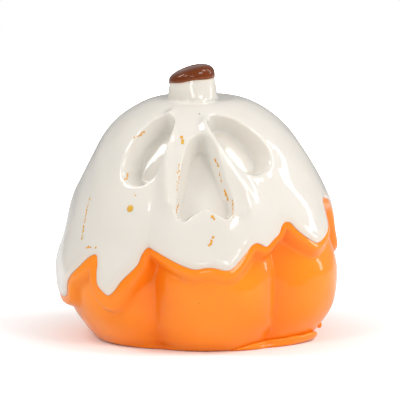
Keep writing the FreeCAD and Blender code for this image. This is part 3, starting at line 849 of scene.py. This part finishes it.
class PUMPKIN_OT_icing(Operator):
    """Builds the white icing with its drips, sockets, nose and ridges as one closed shell"""

    bl_idname = "pumpkin.icing"
    bl_label = "Skull icing"

    edge_offsets = 0.045, 0.11, 0.20, 0.34      # lines of points follow the coat's edge, this far inside it
    clear_of_edge = 0.45                        # the rows of points stop this far inside it
    row_share = 0.78                            # distance between rows as a share of that along them
    steep = 0.6                                 # the points lie twice as close where the face is steeper
    face_bottom = 16.8                          # the face's shapes end above this height

    def execute(self, context):
        form = Form(context.scene)
        angle, run, faces = self.flat_mesh(form, context.scene.pumpkin_icing.spacing / MM)
        inside = np.maximum(form.inside_coat(angle, run), 0)
        shared = inside < ON_EDGE
        push = form.push(angle, run)
        outer = form.point(angle, run, ICING + form.coat(inside)) + push
        inner = form.point(angle, run, form.lip(inside, angle) - TUCK * shared) + push

        count = len(outer)
        twin = np.where(shared, np.arange(count), np.arange(count) + count)
        edges = dict.fromkeys(pair for a, b, c in faces for pair in ((a, b), (b, c), (c, a)))
        rim = [(a, b) for a, b in edges if (b, a) not in edges and not (shared[a] and shared[b])]
        back = [(twin[c], twin[b], twin[a]) for a, b, c in faces]
        walls = [(b, a, twin[a], twin[b]) for a, b in rim]
        piece = make_piece("icing_shell", np.vstack([outer, inner]), list(faces) + back + walls,
                           shared_material("glossy_white", white_glaze), "skull_icing")
        # Painted shade with glaze pooling: the white goes creamier where the face's shapes move it, most in
        # the eye sockets and the nose.
        pool_and_shade = np.clip(0.04 * np.linalg.norm(push, axis=1), 0, 0.6)
        flush = np.exp(-inside / 0.55)
        add_values(piece, "pool_and_shade", np.concatenate([pool_and_shade, pool_and_shade]))
        add_values(piece, "flush", np.concatenate([flush, flush]))
        self.drop_loose(piece.data)
        return {"FINISHED"}

    @staticmethod
    def drop_loose(mesh):
        """Removes the points that no face uses."""
        work = bmesh.new()
        work.from_mesh(mesh)
        bmesh.ops.delete(work, geom=[v for v in work.verts if not v.link_faces], context="VERTS")
        work.to_mesh(mesh)
        work.free()
        mesh.update()

    def edge_lines(self, form):
        """The coat's edge and the lines inside it, as angle and run."""
        edge = np.column_stack([form.edge[:, 0] / HALF_WIDTH, form.edge[:, 1]])
        radius = form.at_run(edge[:, 1])[0] + ICING
        tangent = np.gradient(np.column_stack([edge[:, 0] * radius, edge[:, 1]]), axis=0)
        tangent = tangent / np.linalg.norm(tangent, axis=1)[:, None]
        close = edge[0, 1]
        lines = [edge]
        for offset in self.edge_offsets:
            moved = edge + np.column_stack([tangent[:, 1] / radius, -tangent[:, 0]]) * offset
            moved[0], moved[-1] = (-math.pi, close - offset), (math.pi, close - offset)
            kept = np.abs(moved[:, 0]) < math.pi - 1e-3
            kept[[0, -1]] = True
            lines.append(moved[kept])
        return lines

    def lattice(self, form, start, lowest, spacing):
        """Runs of staggered rows, and the points of those rows, closer together at the front."""
        rows = np.arange(start, lowest, spacing * self.row_share)
        points = []
        for number, run in enumerate(rows[1:]):
            around = int(2 * math.pi * (float(form.at_run(run)[0]) + ICING) / spacing)
            angle = crowded(-math.pi + (np.arange(around) + 0.5 * (number % 2)) * 2 * math.pi / around)
            angle = angle[(angle > -math.pi + 0.4 / around) & (angle < math.pi - 0.4 / around)]
            points.append(np.column_stack([angle, np.full(len(angle), run)]))
        return rows[1:], np.vstack(points)

    def flat_mesh(self, form, spacing):
        """Triangles over the icing, laid out on a flat map where both directions have one scale."""
        start = form.run_at_radius(STEM_RADIUS - 1.0)
        fine = np.linspace(start, form.runs[-1] * 0.98, 900)
        radius = form.at_run(fine)[0] + ICING
        rise = np.concatenate([[0.0], np.cumsum(np.diff(fine) * 2 / (radius[1:] + radius[:-1]))])

        def up(run):
            return np.interp(run, fine, rise)

        def chain(ids):
            return list(zip(ids[:-1], ids[1:]))

        lines = self.edge_lines(form)
        edge = lines[0]
        rows, points = self.lattice(form, start, edge[:, 1].max(), spacing)
        points = points[form.inside_coat(points[:, 0], points[:, 1]) > self.clear_of_edge]
        front = np.abs(points[:, 0]) < FACE_ANGLE
        steep = np.zeros(len(points), bool)
        steep[front] = form.steepness(points[front, 0], points[front, 1]) > self.steep
        close = self.lattice(form, start, form.run_at_height(self.face_bottom, ICING), spacing * 0.5)[1]
        close = close[np.abs(close[:, 0]) < FACE_ANGLE]
        close = close[form.steepness(close[:, 0], close[:, 1]) > self.steep]

        around = max(24, int(2 * math.pi * (STEM_RADIUS + ICING) / spacing))
        top = crowded(np.linspace(-math.pi, math.pi, around + 1))
        top = np.column_stack([top, np.full(len(top), start)])
        end = edge[0, 1]
        seam_rows = rows[rows < end - self.clear_of_edge]
        seam = np.concatenate([seam_rows, [end - offset for offset in self.edge_offsets[::-1]]])
        seams = [np.column_stack([np.full(len(seam), side), seam]) for side in (-math.pi, math.pi)]

        groups = [top, *seams, *lines, points[~steep], close]
        firsts = np.cumsum([0] + [len(group) for group in groups])
        ids = [np.arange(first, last) for first, last in zip(firsts[:-1], firsts[1:])]
        links = chain(ids[0])
        for line_ids in ids[3:3 + len(lines)]:
            links += chain(line_ids)
        links += chain([ids[0][0], *ids[1], ids[3][0]])
        links += chain([ids[0][-1], *ids[2], ids[3][-1]])
        vectors = [Vector((a, -up(r))) for a, r in np.vstack(groups)]
        links = [(int(a), int(b)) for a, b in links]
        found, _, triangles, *_ = delaunay_2d_cdt(vectors, links, [], 0, 1e-7, False)
        found, triangles = np.array([tuple(v) for v in found]), np.array(triangles)
        middles = found[triangles].mean(1)
        triangles = triangles[-middles[:, 1] < np.interp(middles[:, 0], edge[:, 0], up(edge[:, 1]))]
        angle, run = found[:, 0], np.interp(-found[:, 1], rise, fine)

        # The two sides of the seam become one line of points.
        left = np.where(angle < -math.pi + 1e-5)[0]
        into = np.arange(len(angle))
        for index in np.where(angle > math.pi - 1e-5)[0]:
            into[index] = left[np.argmin(np.abs(run[left] - run[index]))]
        faces = [tuple(into[list(t)]) for t in triangles]
        return angle, run, [f for f in faces if len(set(f)) == 3]


class PUMPKIN_OT_stem(Operator):
    """Builds the white stub stem, flared where its glaze runs onto the crown"""

    bl_idname = "pumpkin.stem"
    bl_label = "Stem"

    spigot_step = 1.05          # the spigot's radius is this much less than the stem's

    def execute(self, context):
        angle = np.linspace(0, 2 * math.pi, STEM_COLUMNS, endpoint=False)
        rings = [stem_ring(angle, share) for share in np.linspace(1, 0, 40)]
        spigot = [STEM_X, 0] + directions(angle) * (STEM_RADIUS - self.spigot_step)
        rings += [level_ring(spigot, height) for height in (ICING_HIGH.z - 0.03, CROWN + 0.05)]
        points, faces = capped(np.array(rings))
        piece = make_piece("stem_stub", points, faces, shared_material("glossy_white", white_glaze), "stem")
        # Painted shade with glaze pooling: creamier at the stem's foot, where it meets the crown.
        low = np.clip(1 - (points[:, 2] - STEM_SEAT) / 0.8, 0, 1)
        add_values(piece, "pool_and_shade", 0.5 * low)
        thin = np.clip(1 - (stem_edge(angle_of(points)) - points[:, 2]) / 0.35, 0, 1)
        add_values(piece, "flush", 0.7 * thin)
        return {"FINISHED"}


def angle_of(points):
    """Angle of points round the stem."""
    return np.arctan2(points[:, 0] - STEM_X, -points[:, 1])


def stem_edge(angle):
    """Height of the brown glaze's lower edge round the stem."""
    return TIP_EDGE + 0.38 * np.sin(angle) + 0.34 * np.cos(angle) + 0.05 * np.sin(5 * angle + 1)


def stem_ring(angle, share):
    """A ring of the stem, from its seat on the icing at 0 to the brown glaze's edge at 1."""
    height = STEM_SEAT + (stem_edge(angle) - STEM_SEAT) * share
    above = height - STEM_SEAT
    flare = (0.35 + 0.2 * np.sin(angle)) * np.exp(-above / 0.28)
    radius = STEM_RADIUS - 0.32 * share + flare + 0.05 * np.sin(3 * angle + 1.5 * above)
    middle = STEM_X + 0.12 - 0.2 * share
    return np.column_stack([middle + np.sin(angle) * radius, -np.cos(angle) * radius, height])


class PUMPKIN_OT_stem_tip(Operator):
    """Builds the brown glazed tip with its slanted, rounded top"""

    bl_idname = "pumpkin.stem_tip"
    bl_label = "Stem tip"

    squareness = 0.5            # lower makes a flatter top with a tighter edge
    slant = 0.86                # rise of the top towards +X over the stem's radius

    def execute(self, context):
        angle = np.linspace(0, 2 * math.pi, STEM_COLUMNS, endpoint=False)
        base = stem_ring(angle, 1.0)
        middle = base.mean(0)
        away = base[:, :2] - middle[:2]
        rings = []
        for turn in np.linspace(math.pi / 2 - 0.02, 0, 34):
            spread = math.cos(turn) ** self.squareness
            rise = math.sin(turn) ** self.squareness
            flat = middle[:2] + away * (spread * (1.03 - 0.02 * rise))
            across = (flat[:, 0] - middle[0]) / STEM_RADIUS
            shoulder = 1.1 * np.maximum(across - 0.35, 0) ** 2
            top = TIP_TOP + self.slant * across - shoulder + 0.06 * np.cos(2 * angle) + 0.08 * (1 - spread)
            rings.append(np.column_stack([flat, base[:, 2] * (1 - rise) + top * rise]))
        rings.append(np.column_stack([middle[:2] + away * 0.99, base[:, 2] - 0.02]))
        rings.append(np.column_stack([middle[:2] + away * 0.5, base[:, 2] * 0.5 + middle[2] * 0.5]))
        points, faces = capped(np.array(rings))
        piece = make_piece("stem_tip_cap", points, faces, shared_material("glossy_brown", brown_glaze),
                           "stem_tip")
        thin = np.clip(1 - (points[:, 2] - stem_edge(angle_of(points))) / 0.22, 0, 1)
        add_values(piece, "thin", thin)
        return {"FINISHED"}


class PUMPKIN_OT_foot_puddle(Operator):
    """Builds the run of orange glaze that froze round the foot"""

    bl_idname = "pumpkin.foot_puddle"
    bl_label = "Foot puddle"

    # The run from end to end: angle, height and width, in degrees and millimetres.
    shape = ((14, 0.05, 0.05), (19, 0.40, 0.40), (27, 0.80, 0.65), (37, 0.98, 0.80), (46, 1.15, 0.95),
             (55, 1.25, 1.05), (64, 1.30, 1.15), (71, 1.20, 1.15), (75, 0.85, 0.80), (77.5, 0.05, 0.05))
    nib = (76.5, 1.75, 0.34)    # angle, height and radius of the bead above its end
    inwards = 0.35              # the run reaches this far under the clay's wall

    def execute(self, context):
        form = Form(context.scene)
        line = smooth_line(self.shape, 12)
        turn = np.linspace(0, math.pi / 2, 14)
        rings = []
        for degrees, height, width in line:
            angle = math.radians(degrees)
            height = height * (1 + 0.04 * math.sin(angle * 29))
            section = []
            for t in turn:
                level = height * math.sin(t) ** 0.8
                swell = width * math.cos(t) ** 0.7 - 0.12 * math.sin(t) if t < math.pi / 2 else -0.12
                section.append(self.by_wall(form, angle, form.run_at_height(max(level, 0.02)), swell, level))
            for level in (height * 0.4, 0.0):
                section.append(self.by_wall(form, angle, form.runs[-1], -self.inwards, level))
            rings.append(section)
        rings = np.array(rings)
        rings[..., 2] = np.maximum(rings[..., 2], 0.0)
        points, faces = capped(rings)
        nib_points, nib_faces = self.bead(form)
        faces += [tuple(i + len(points) for i in face) for face in nib_faces]
        points = np.vstack([points, nib_points])
        piece = make_piece("foot_glaze_run", points, faces, shared_material("glossy_orange", orange_glaze),
                           "foot_puddle")
        # Painted shade with glaze pooling: deeper orange along the run's bottom, against the floor.
        add_values(piece, "pool_and_shade", 0.35 * (1 - step(0.0, 0.5, points[:, 2])))
        return {"FINISHED"}

    @staticmethod
    def by_wall(form, angle, run, beyond, level):
        """A point at a height, some way beyond the clay's wall."""
        wall = form.point(angle, run, 0.0)
        return [wall[0] + math.sin(angle) * beyond, wall[1] - math.cos(angle) * beyond, level]

    def bead(self, form):
        """A small bead of glaze above the run's end."""
        degrees, height, radius = self.nib
        angle = math.radians(degrees)
        centre = form.point(angle, form.run_at_height(height), 0.0)
        rings = []
        around = np.linspace(0, 2 * math.pi, 24, endpoint=False)
        for t in np.linspace(0.15, math.pi - 0.15, 12):
            rings.append(centre + level_ring(directions(around) * math.sin(t), math.cos(t) * 1.3) * radius)
        return capped(np.array(rings))


class PUMPKIN_OT_specks(Operator):
    """Scatters specks of orange and yellow glaze along short strokes on the white icing"""

    bl_idname = "pumpkin.specks"
    bl_label = "Glaze specks"

    def execute(self, context):
        form = Form(context.scene)
        points, edges, sizes = [], [], []
        for size, stroke in SPECKS:
            line = smooth_line(stroke, 6) if len(stroke) > 2 else np.array(stroke, float)
            first = len(points)
            for degrees, height in line:
                angle = np.array([math.radians(degrees)])
                run = np.array([form.run_at_height(height, ICING)])
                points.append((form.point(angle, run, ICING) + form.push(angle, run))[0])
                sizes.append(size)
            edges += [(n, n + 1) for n in range(first, len(points) - 1)]
        mesh = bpy.data.meshes.new("speck_strokes")
        mesh.from_pydata((np.array(points) * MM).tolist(), edges, [])
        layer = mesh.attributes.new("drop", "FLOAT", "POINT")
        layer.data.foreach_set("value", np.array(sizes, np.float32) * MM)
        strokes = new_object("speck_strokes", mesh)

        tree = speck_tree(shared_material("glossy_specks", speck_glaze))
        modifier = strokes.modifiers.new("specks", "NODES")
        modifier.node_group = tree
        names = {item.name: item.identifier for item in tree.interface.items_tree if item.in_out == "INPUT"}
        modifier[names["Surface"]] = bpy.data.objects["icing_shell"]
        context.view_layer.update()
        evaluated = strokes.evaluated_get(context.evaluated_depsgraph_get())
        finished = bpy.data.meshes.new_from_object(evaluated)
        finished.shade_smooth()
        bpy.data.objects.remove(strokes)
        piece = new_object("glaze_specks", finished)
        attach(piece, "root")
        return {"FINISHED"}


def speck_tree(material):
    """Geometry nodes: flattened drops on a surface, at uneven steps along strokes."""
    tree = bpy.data.node_groups.new("glaze_specks", "GeometryNodeTree")
    tree.interface.new_socket("Geometry", in_out="INPUT", socket_type="NodeSocketGeometry")
    tree.interface.new_socket("Surface", in_out="INPUT", socket_type="NodeSocketObject")
    for label, kind, default in (("Step", "Float", 0.24 * MM), ("Scatter", "Float", 0.12 * MM),
                                 ("Flatness", "Float", 0.22), ("Seed", "Int", 7)):
        socket = tree.interface.new_socket(label, in_out="INPUT", socket_type="NodeSocket" + kind)
        socket.default_value = default
    tree.interface.new_socket("Geometry", in_out="OUTPUT", socket_type="NodeSocketGeometry")

    def node(kind, inputs=None, **settings):
        return add_node(tree, kind, inputs, **settings).outputs

    given = node("NodeGroupInput")
    curve = node("GeometryNodeMeshToCurve", {"Mesh": given["Geometry"]})["Curve"]
    even = node("GeometryNodeResampleCurve", {"Curve": curve, "Length": given["Step"]},
                mode="LENGTH")["Curve"]
    dots = node("GeometryNodeCurveToPoints", {"Curve": even}, mode="EVALUATED")["Points"]
    scatter = node("FunctionNodeRandomValue", {"Min": (-1, -1, -1), "Seed": given["Seed"]},
                   data_type="FLOAT_VECTOR")[0]
    offset = node("ShaderNodeVectorMath", {0: scatter, "Scale": given["Scatter"]}, operation="SCALE")[0]
    moved = node("GeometryNodeSetPosition", {"Geometry": dots, "Offset": offset})["Geometry"]

    surface = node("GeometryNodeObjectInfo", {"Object": given["Surface"]})["Geometry"]
    nearest, facing = (
        node("GeometryNodeSampleNearestSurface", {"Mesh": surface, "Value": node(field)[0]},
             data_type="FLOAT_VECTOR")["Value"]
        for field in ("GeometryNodeInputPosition", "GeometryNodeInputNormal"))
    seated = node("GeometryNodeSetPosition", {"Geometry": moved, "Position": nearest})["Geometry"]
    aim = node("FunctionNodeAlignRotationToVector", {"Vector": facing}, axis="Z")["Rotation"]

    size = node("GeometryNodeInputNamedAttribute", {"Name": "drop"}, data_type="FLOAT")["Attribute"]
    vary = node("FunctionNodeRandomValue", {2: 0.55, 3: 1.25, "Seed": given["Seed"]}, data_type="FLOAT")[1]
    wide = node("ShaderNodeMath", {0: size, 1: vary}, operation="MULTIPLY")[0]
    flat = node("ShaderNodeMath", {0: wide, 1: given["Flatness"]}, operation="MULTIPLY")[0]
    scale = node("ShaderNodeCombineXYZ", {"X": wide, "Y": wide, "Z": flat})["Vector"]
    drop = node("GeometryNodeMeshIcoSphere", {"Radius": 1.0, "Subdivisions": 2})["Mesh"]
    placed = node("GeometryNodeInstanceOnPoints",
                  {"Points": seated, "Instance": drop, "Rotation": aim, "Scale": scale})["Instances"]
    real = node("GeometryNodeRealizeInstances", {"Geometry": placed})["Geometry"]
    glazed = node("GeometryNodeSetMaterial", {"Geometry": real, "Material": material})["Geometry"]
    node("NodeGroupOutput", {"Geometry": glazed})
    return tree


# ---------------------------------------------------------------- stage


class PUMPKIN_OT_stage(Operator):
    """Builds the pale floor, the soft lamps and the camera"""

    bl_idname = "pumpkin.stage"
    bl_label = "Stage"

    # Name, where it stands, what it faces (metres), width, height and power.
    lamps = (
        ("key_softbox", (0.20, -0.24, 0.19), (0.0, 0.0, 0.018), 0.11, 0.12, 0.35),
        ("side_strip", (0.26, 0.06, 0.135), (0.0, 0.0, 0.018), 0.035, 0.22, 0.17),
        ("upper_right_softbox", (0.18, -0.05, 0.24), (0.0, 0.0, 0.02), 0.08, 0.11, 0.22),
        ("upper_left_softbox", (-0.20, -0.02, 0.23), (0.0, 0.0, 0.02), 0.08, 0.11, 0.30),
        ("left_softbox", (-0.16, -0.24, 0.22), (0.0, 0.0, 0.015), 0.06, 0.09, 0.17),
        ("front_fill", (0.0, -0.40, 0.10), (0.0, 0.0, 0.010), 0.10, 0.05, 0.11),
    )

    def execute(self, context):
        self.floor()
        self.world(context)
        for lamp in self.lamps:
            self.lamp(*lamp)
        self.camera(context)
        context.scene.view_settings.view_transform = "Standard"
        return {"FINISHED"}

    @staticmethod
    def floor():
        """A wide plane whose colour reads as white to the camera and still takes the figure's shadow."""
        reach = 0.30
        mesh = bpy.data.meshes.new("floor")
        corners = [(-reach, -reach, 0), (reach, -reach, 0), (reach, reach, 0), (-reach, reach, 0)]
        mesh.from_pydata(corners, [], [(0, 1, 2, 3)])
        plane = new_object("floor", mesh)
        material = bpy.data.materials.new("floor_paper")
        material.use_nodes = True
        tree = material.node_tree
        tree.nodes.clear()
        paper = add_node(tree, "ShaderNodeBsdfDiffuse", {"Color": (0.92, 0.92, 0.92, 1)}).outputs[0]
        place = add_node(tree, "ShaderNodeTexCoord").outputs["Object"]
        away = add_node(tree, "ShaderNodeVectorMath", {0: place}, operation="LENGTH").outputs["Value"]
        # The glow grows over the first centimetre or so round the foot, and slowly further out.
        near = add_node(tree, "ShaderNodeMapRange", {"Value": away, "From Min": 0.012, "From Max": 0.026,
                                                     "To Min": 0.0, "To Max": 0.26}).outputs["Result"]
        far = math_node(tree, "MULTIPLY", math_node(tree, "POWER", away, 2.0), 40.0)
        strength = math_node(tree, "MULTIPLY", seen_directly(tree), math_node(tree, "ADD", far, near))
        glow = add_node(tree, "ShaderNodeEmission", {"Color": (1, 1, 1, 1), "Strength": strength}).outputs[0]
        both = add_node(tree, "ShaderNodeAddShader", {0: paper, 1: glow}).outputs[0]
        add_node(tree, "ShaderNodeOutputMaterial", {"Surface": both})
        mesh.materials.append(material)

    @staticmethod
    def world(context):
        """White to the camera, softer as a light and in reflections."""
        world = bpy.data.worlds.new("studio")
        context.scene.world = world
        world.use_nodes = True
        tree = world.node_tree
        background = tree.nodes["Background"]
        background.inputs["Color"].default_value = (1, 1, 1, 1)
        ambient = context.scene.pumpkin_stage.ambient
        more = math_node(tree, "MULTIPLY", seen_directly(tree), 1 - ambient)
        tree.links.new(math_node(tree, "ADD", more, ambient), background.inputs["Strength"])

    @staticmethod
    def lamp(name, place, target, width, height, power):
        light = bpy.data.lights.new(name, "AREA")
        light.shape = "RECTANGLE"
        light.size = width
        light.size_y = height
        light.energy = power
        lamp = new_object(name, light)
        lamp.location = place
        lamp.rotation_euler = (Vector(target) - Vector(place)).to_track_quat("-Z", "Y").to_euler()

    @staticmethod
    def camera(context):
        stage = context.scene.pumpkin_stage
        data = bpy.data.cameras.new("camera")
        data.sensor_width = 36
        data.lens = data.sensor_width * stage.distance / stage.view_width
        camera = new_object("camera", data)
        target = Vector((0.26 * MM, 0, 17.45 * MM))
        back = Vector((0, -math.cos(stage.elevation), math.sin(stage.elevation)))
        camera.location = target + back * stage.distance
        camera.rotation_euler = (-back).to_track_quat("-Z", "Y").to_euler()
        context.scene.camera = camera


def seen_directly(tree):
    """1 for what the camera sees, straight or through glass, and 0 for light and reflections."""
    path = tree.nodes.new("ShaderNodeLightPath")
    return math_node(tree, "MAXIMUM", path.outputs["Is Camera Ray"], path.outputs["Is Transmission Ray"])


# ---------------------------------------------------------------- panel and run


class PUMPKIN_PT_panel(Panel):
    """Lists the figure's pieces and sizes"""

    bl_idname = "PUMPKIN_PT_panel"
    bl_label = "Glazed pumpkin"
    bl_space_type = "VIEW_3D"
    bl_region_type = "UI"
    bl_category = "Pumpkin"

    def draw(self, context):
        for operator in OPERATORS:
            self.layout.operator(operator.bl_idname)
        for name, group in SETTINGS.items():
            box = self.layout.box()
            box.label(text=group.__doc__)
            for key in group.__annotations__:
                box.prop(getattr(context.scene, name), key)


OPERATORS = (PUMPKIN_OT_body, PUMPKIN_OT_icing, PUMPKIN_OT_stem, PUMPKIN_OT_stem_tip, PUMPKIN_OT_foot_puddle,
             PUMPKIN_OT_specks, PUMPKIN_OT_stage)
SETTINGS = {
    "pumpkin_form": PumpkinFormSettings,
    "pumpkin_icing": PumpkinIcingSettings,
    "pumpkin_face": PumpkinFaceSettings,
    "pumpkin_glaze": PumpkinGlazeSettings,
    "pumpkin_stage": PumpkinStageSettings,
}


def register():
    for group in SETTINGS.values():
        bpy.utils.register_class(group)
    for name, group in SETTINGS.items():
        setattr(bpy.types.Scene, name, PointerProperty(type=group))
    for cls in (*OPERATORS, PUMPKIN_PT_panel):
        bpy.utils.register_class(cls)


def unregister():
    for cls in (PUMPKIN_PT_panel, *reversed(OPERATORS)):
        bpy.utils.unregister_class(cls)
    for name in SETTINGS:
        delattr(bpy.types.Scene, name)
    for group in reversed(list(SETTINGS.values())):
        bpy.utils.unregister_class(group)


def main():
    register()
    bpy.ops.pumpkin.body()
    bpy.ops.pumpkin.icing()
    bpy.ops.pumpkin.stem()
    bpy.ops.pumpkin.stem_tip()
    bpy.ops.pumpkin.foot_puddle()
    bpy.ops.pumpkin.specks()
    bpy.ops.pumpkin.stage()


if __name__ == "__main__":
    main()
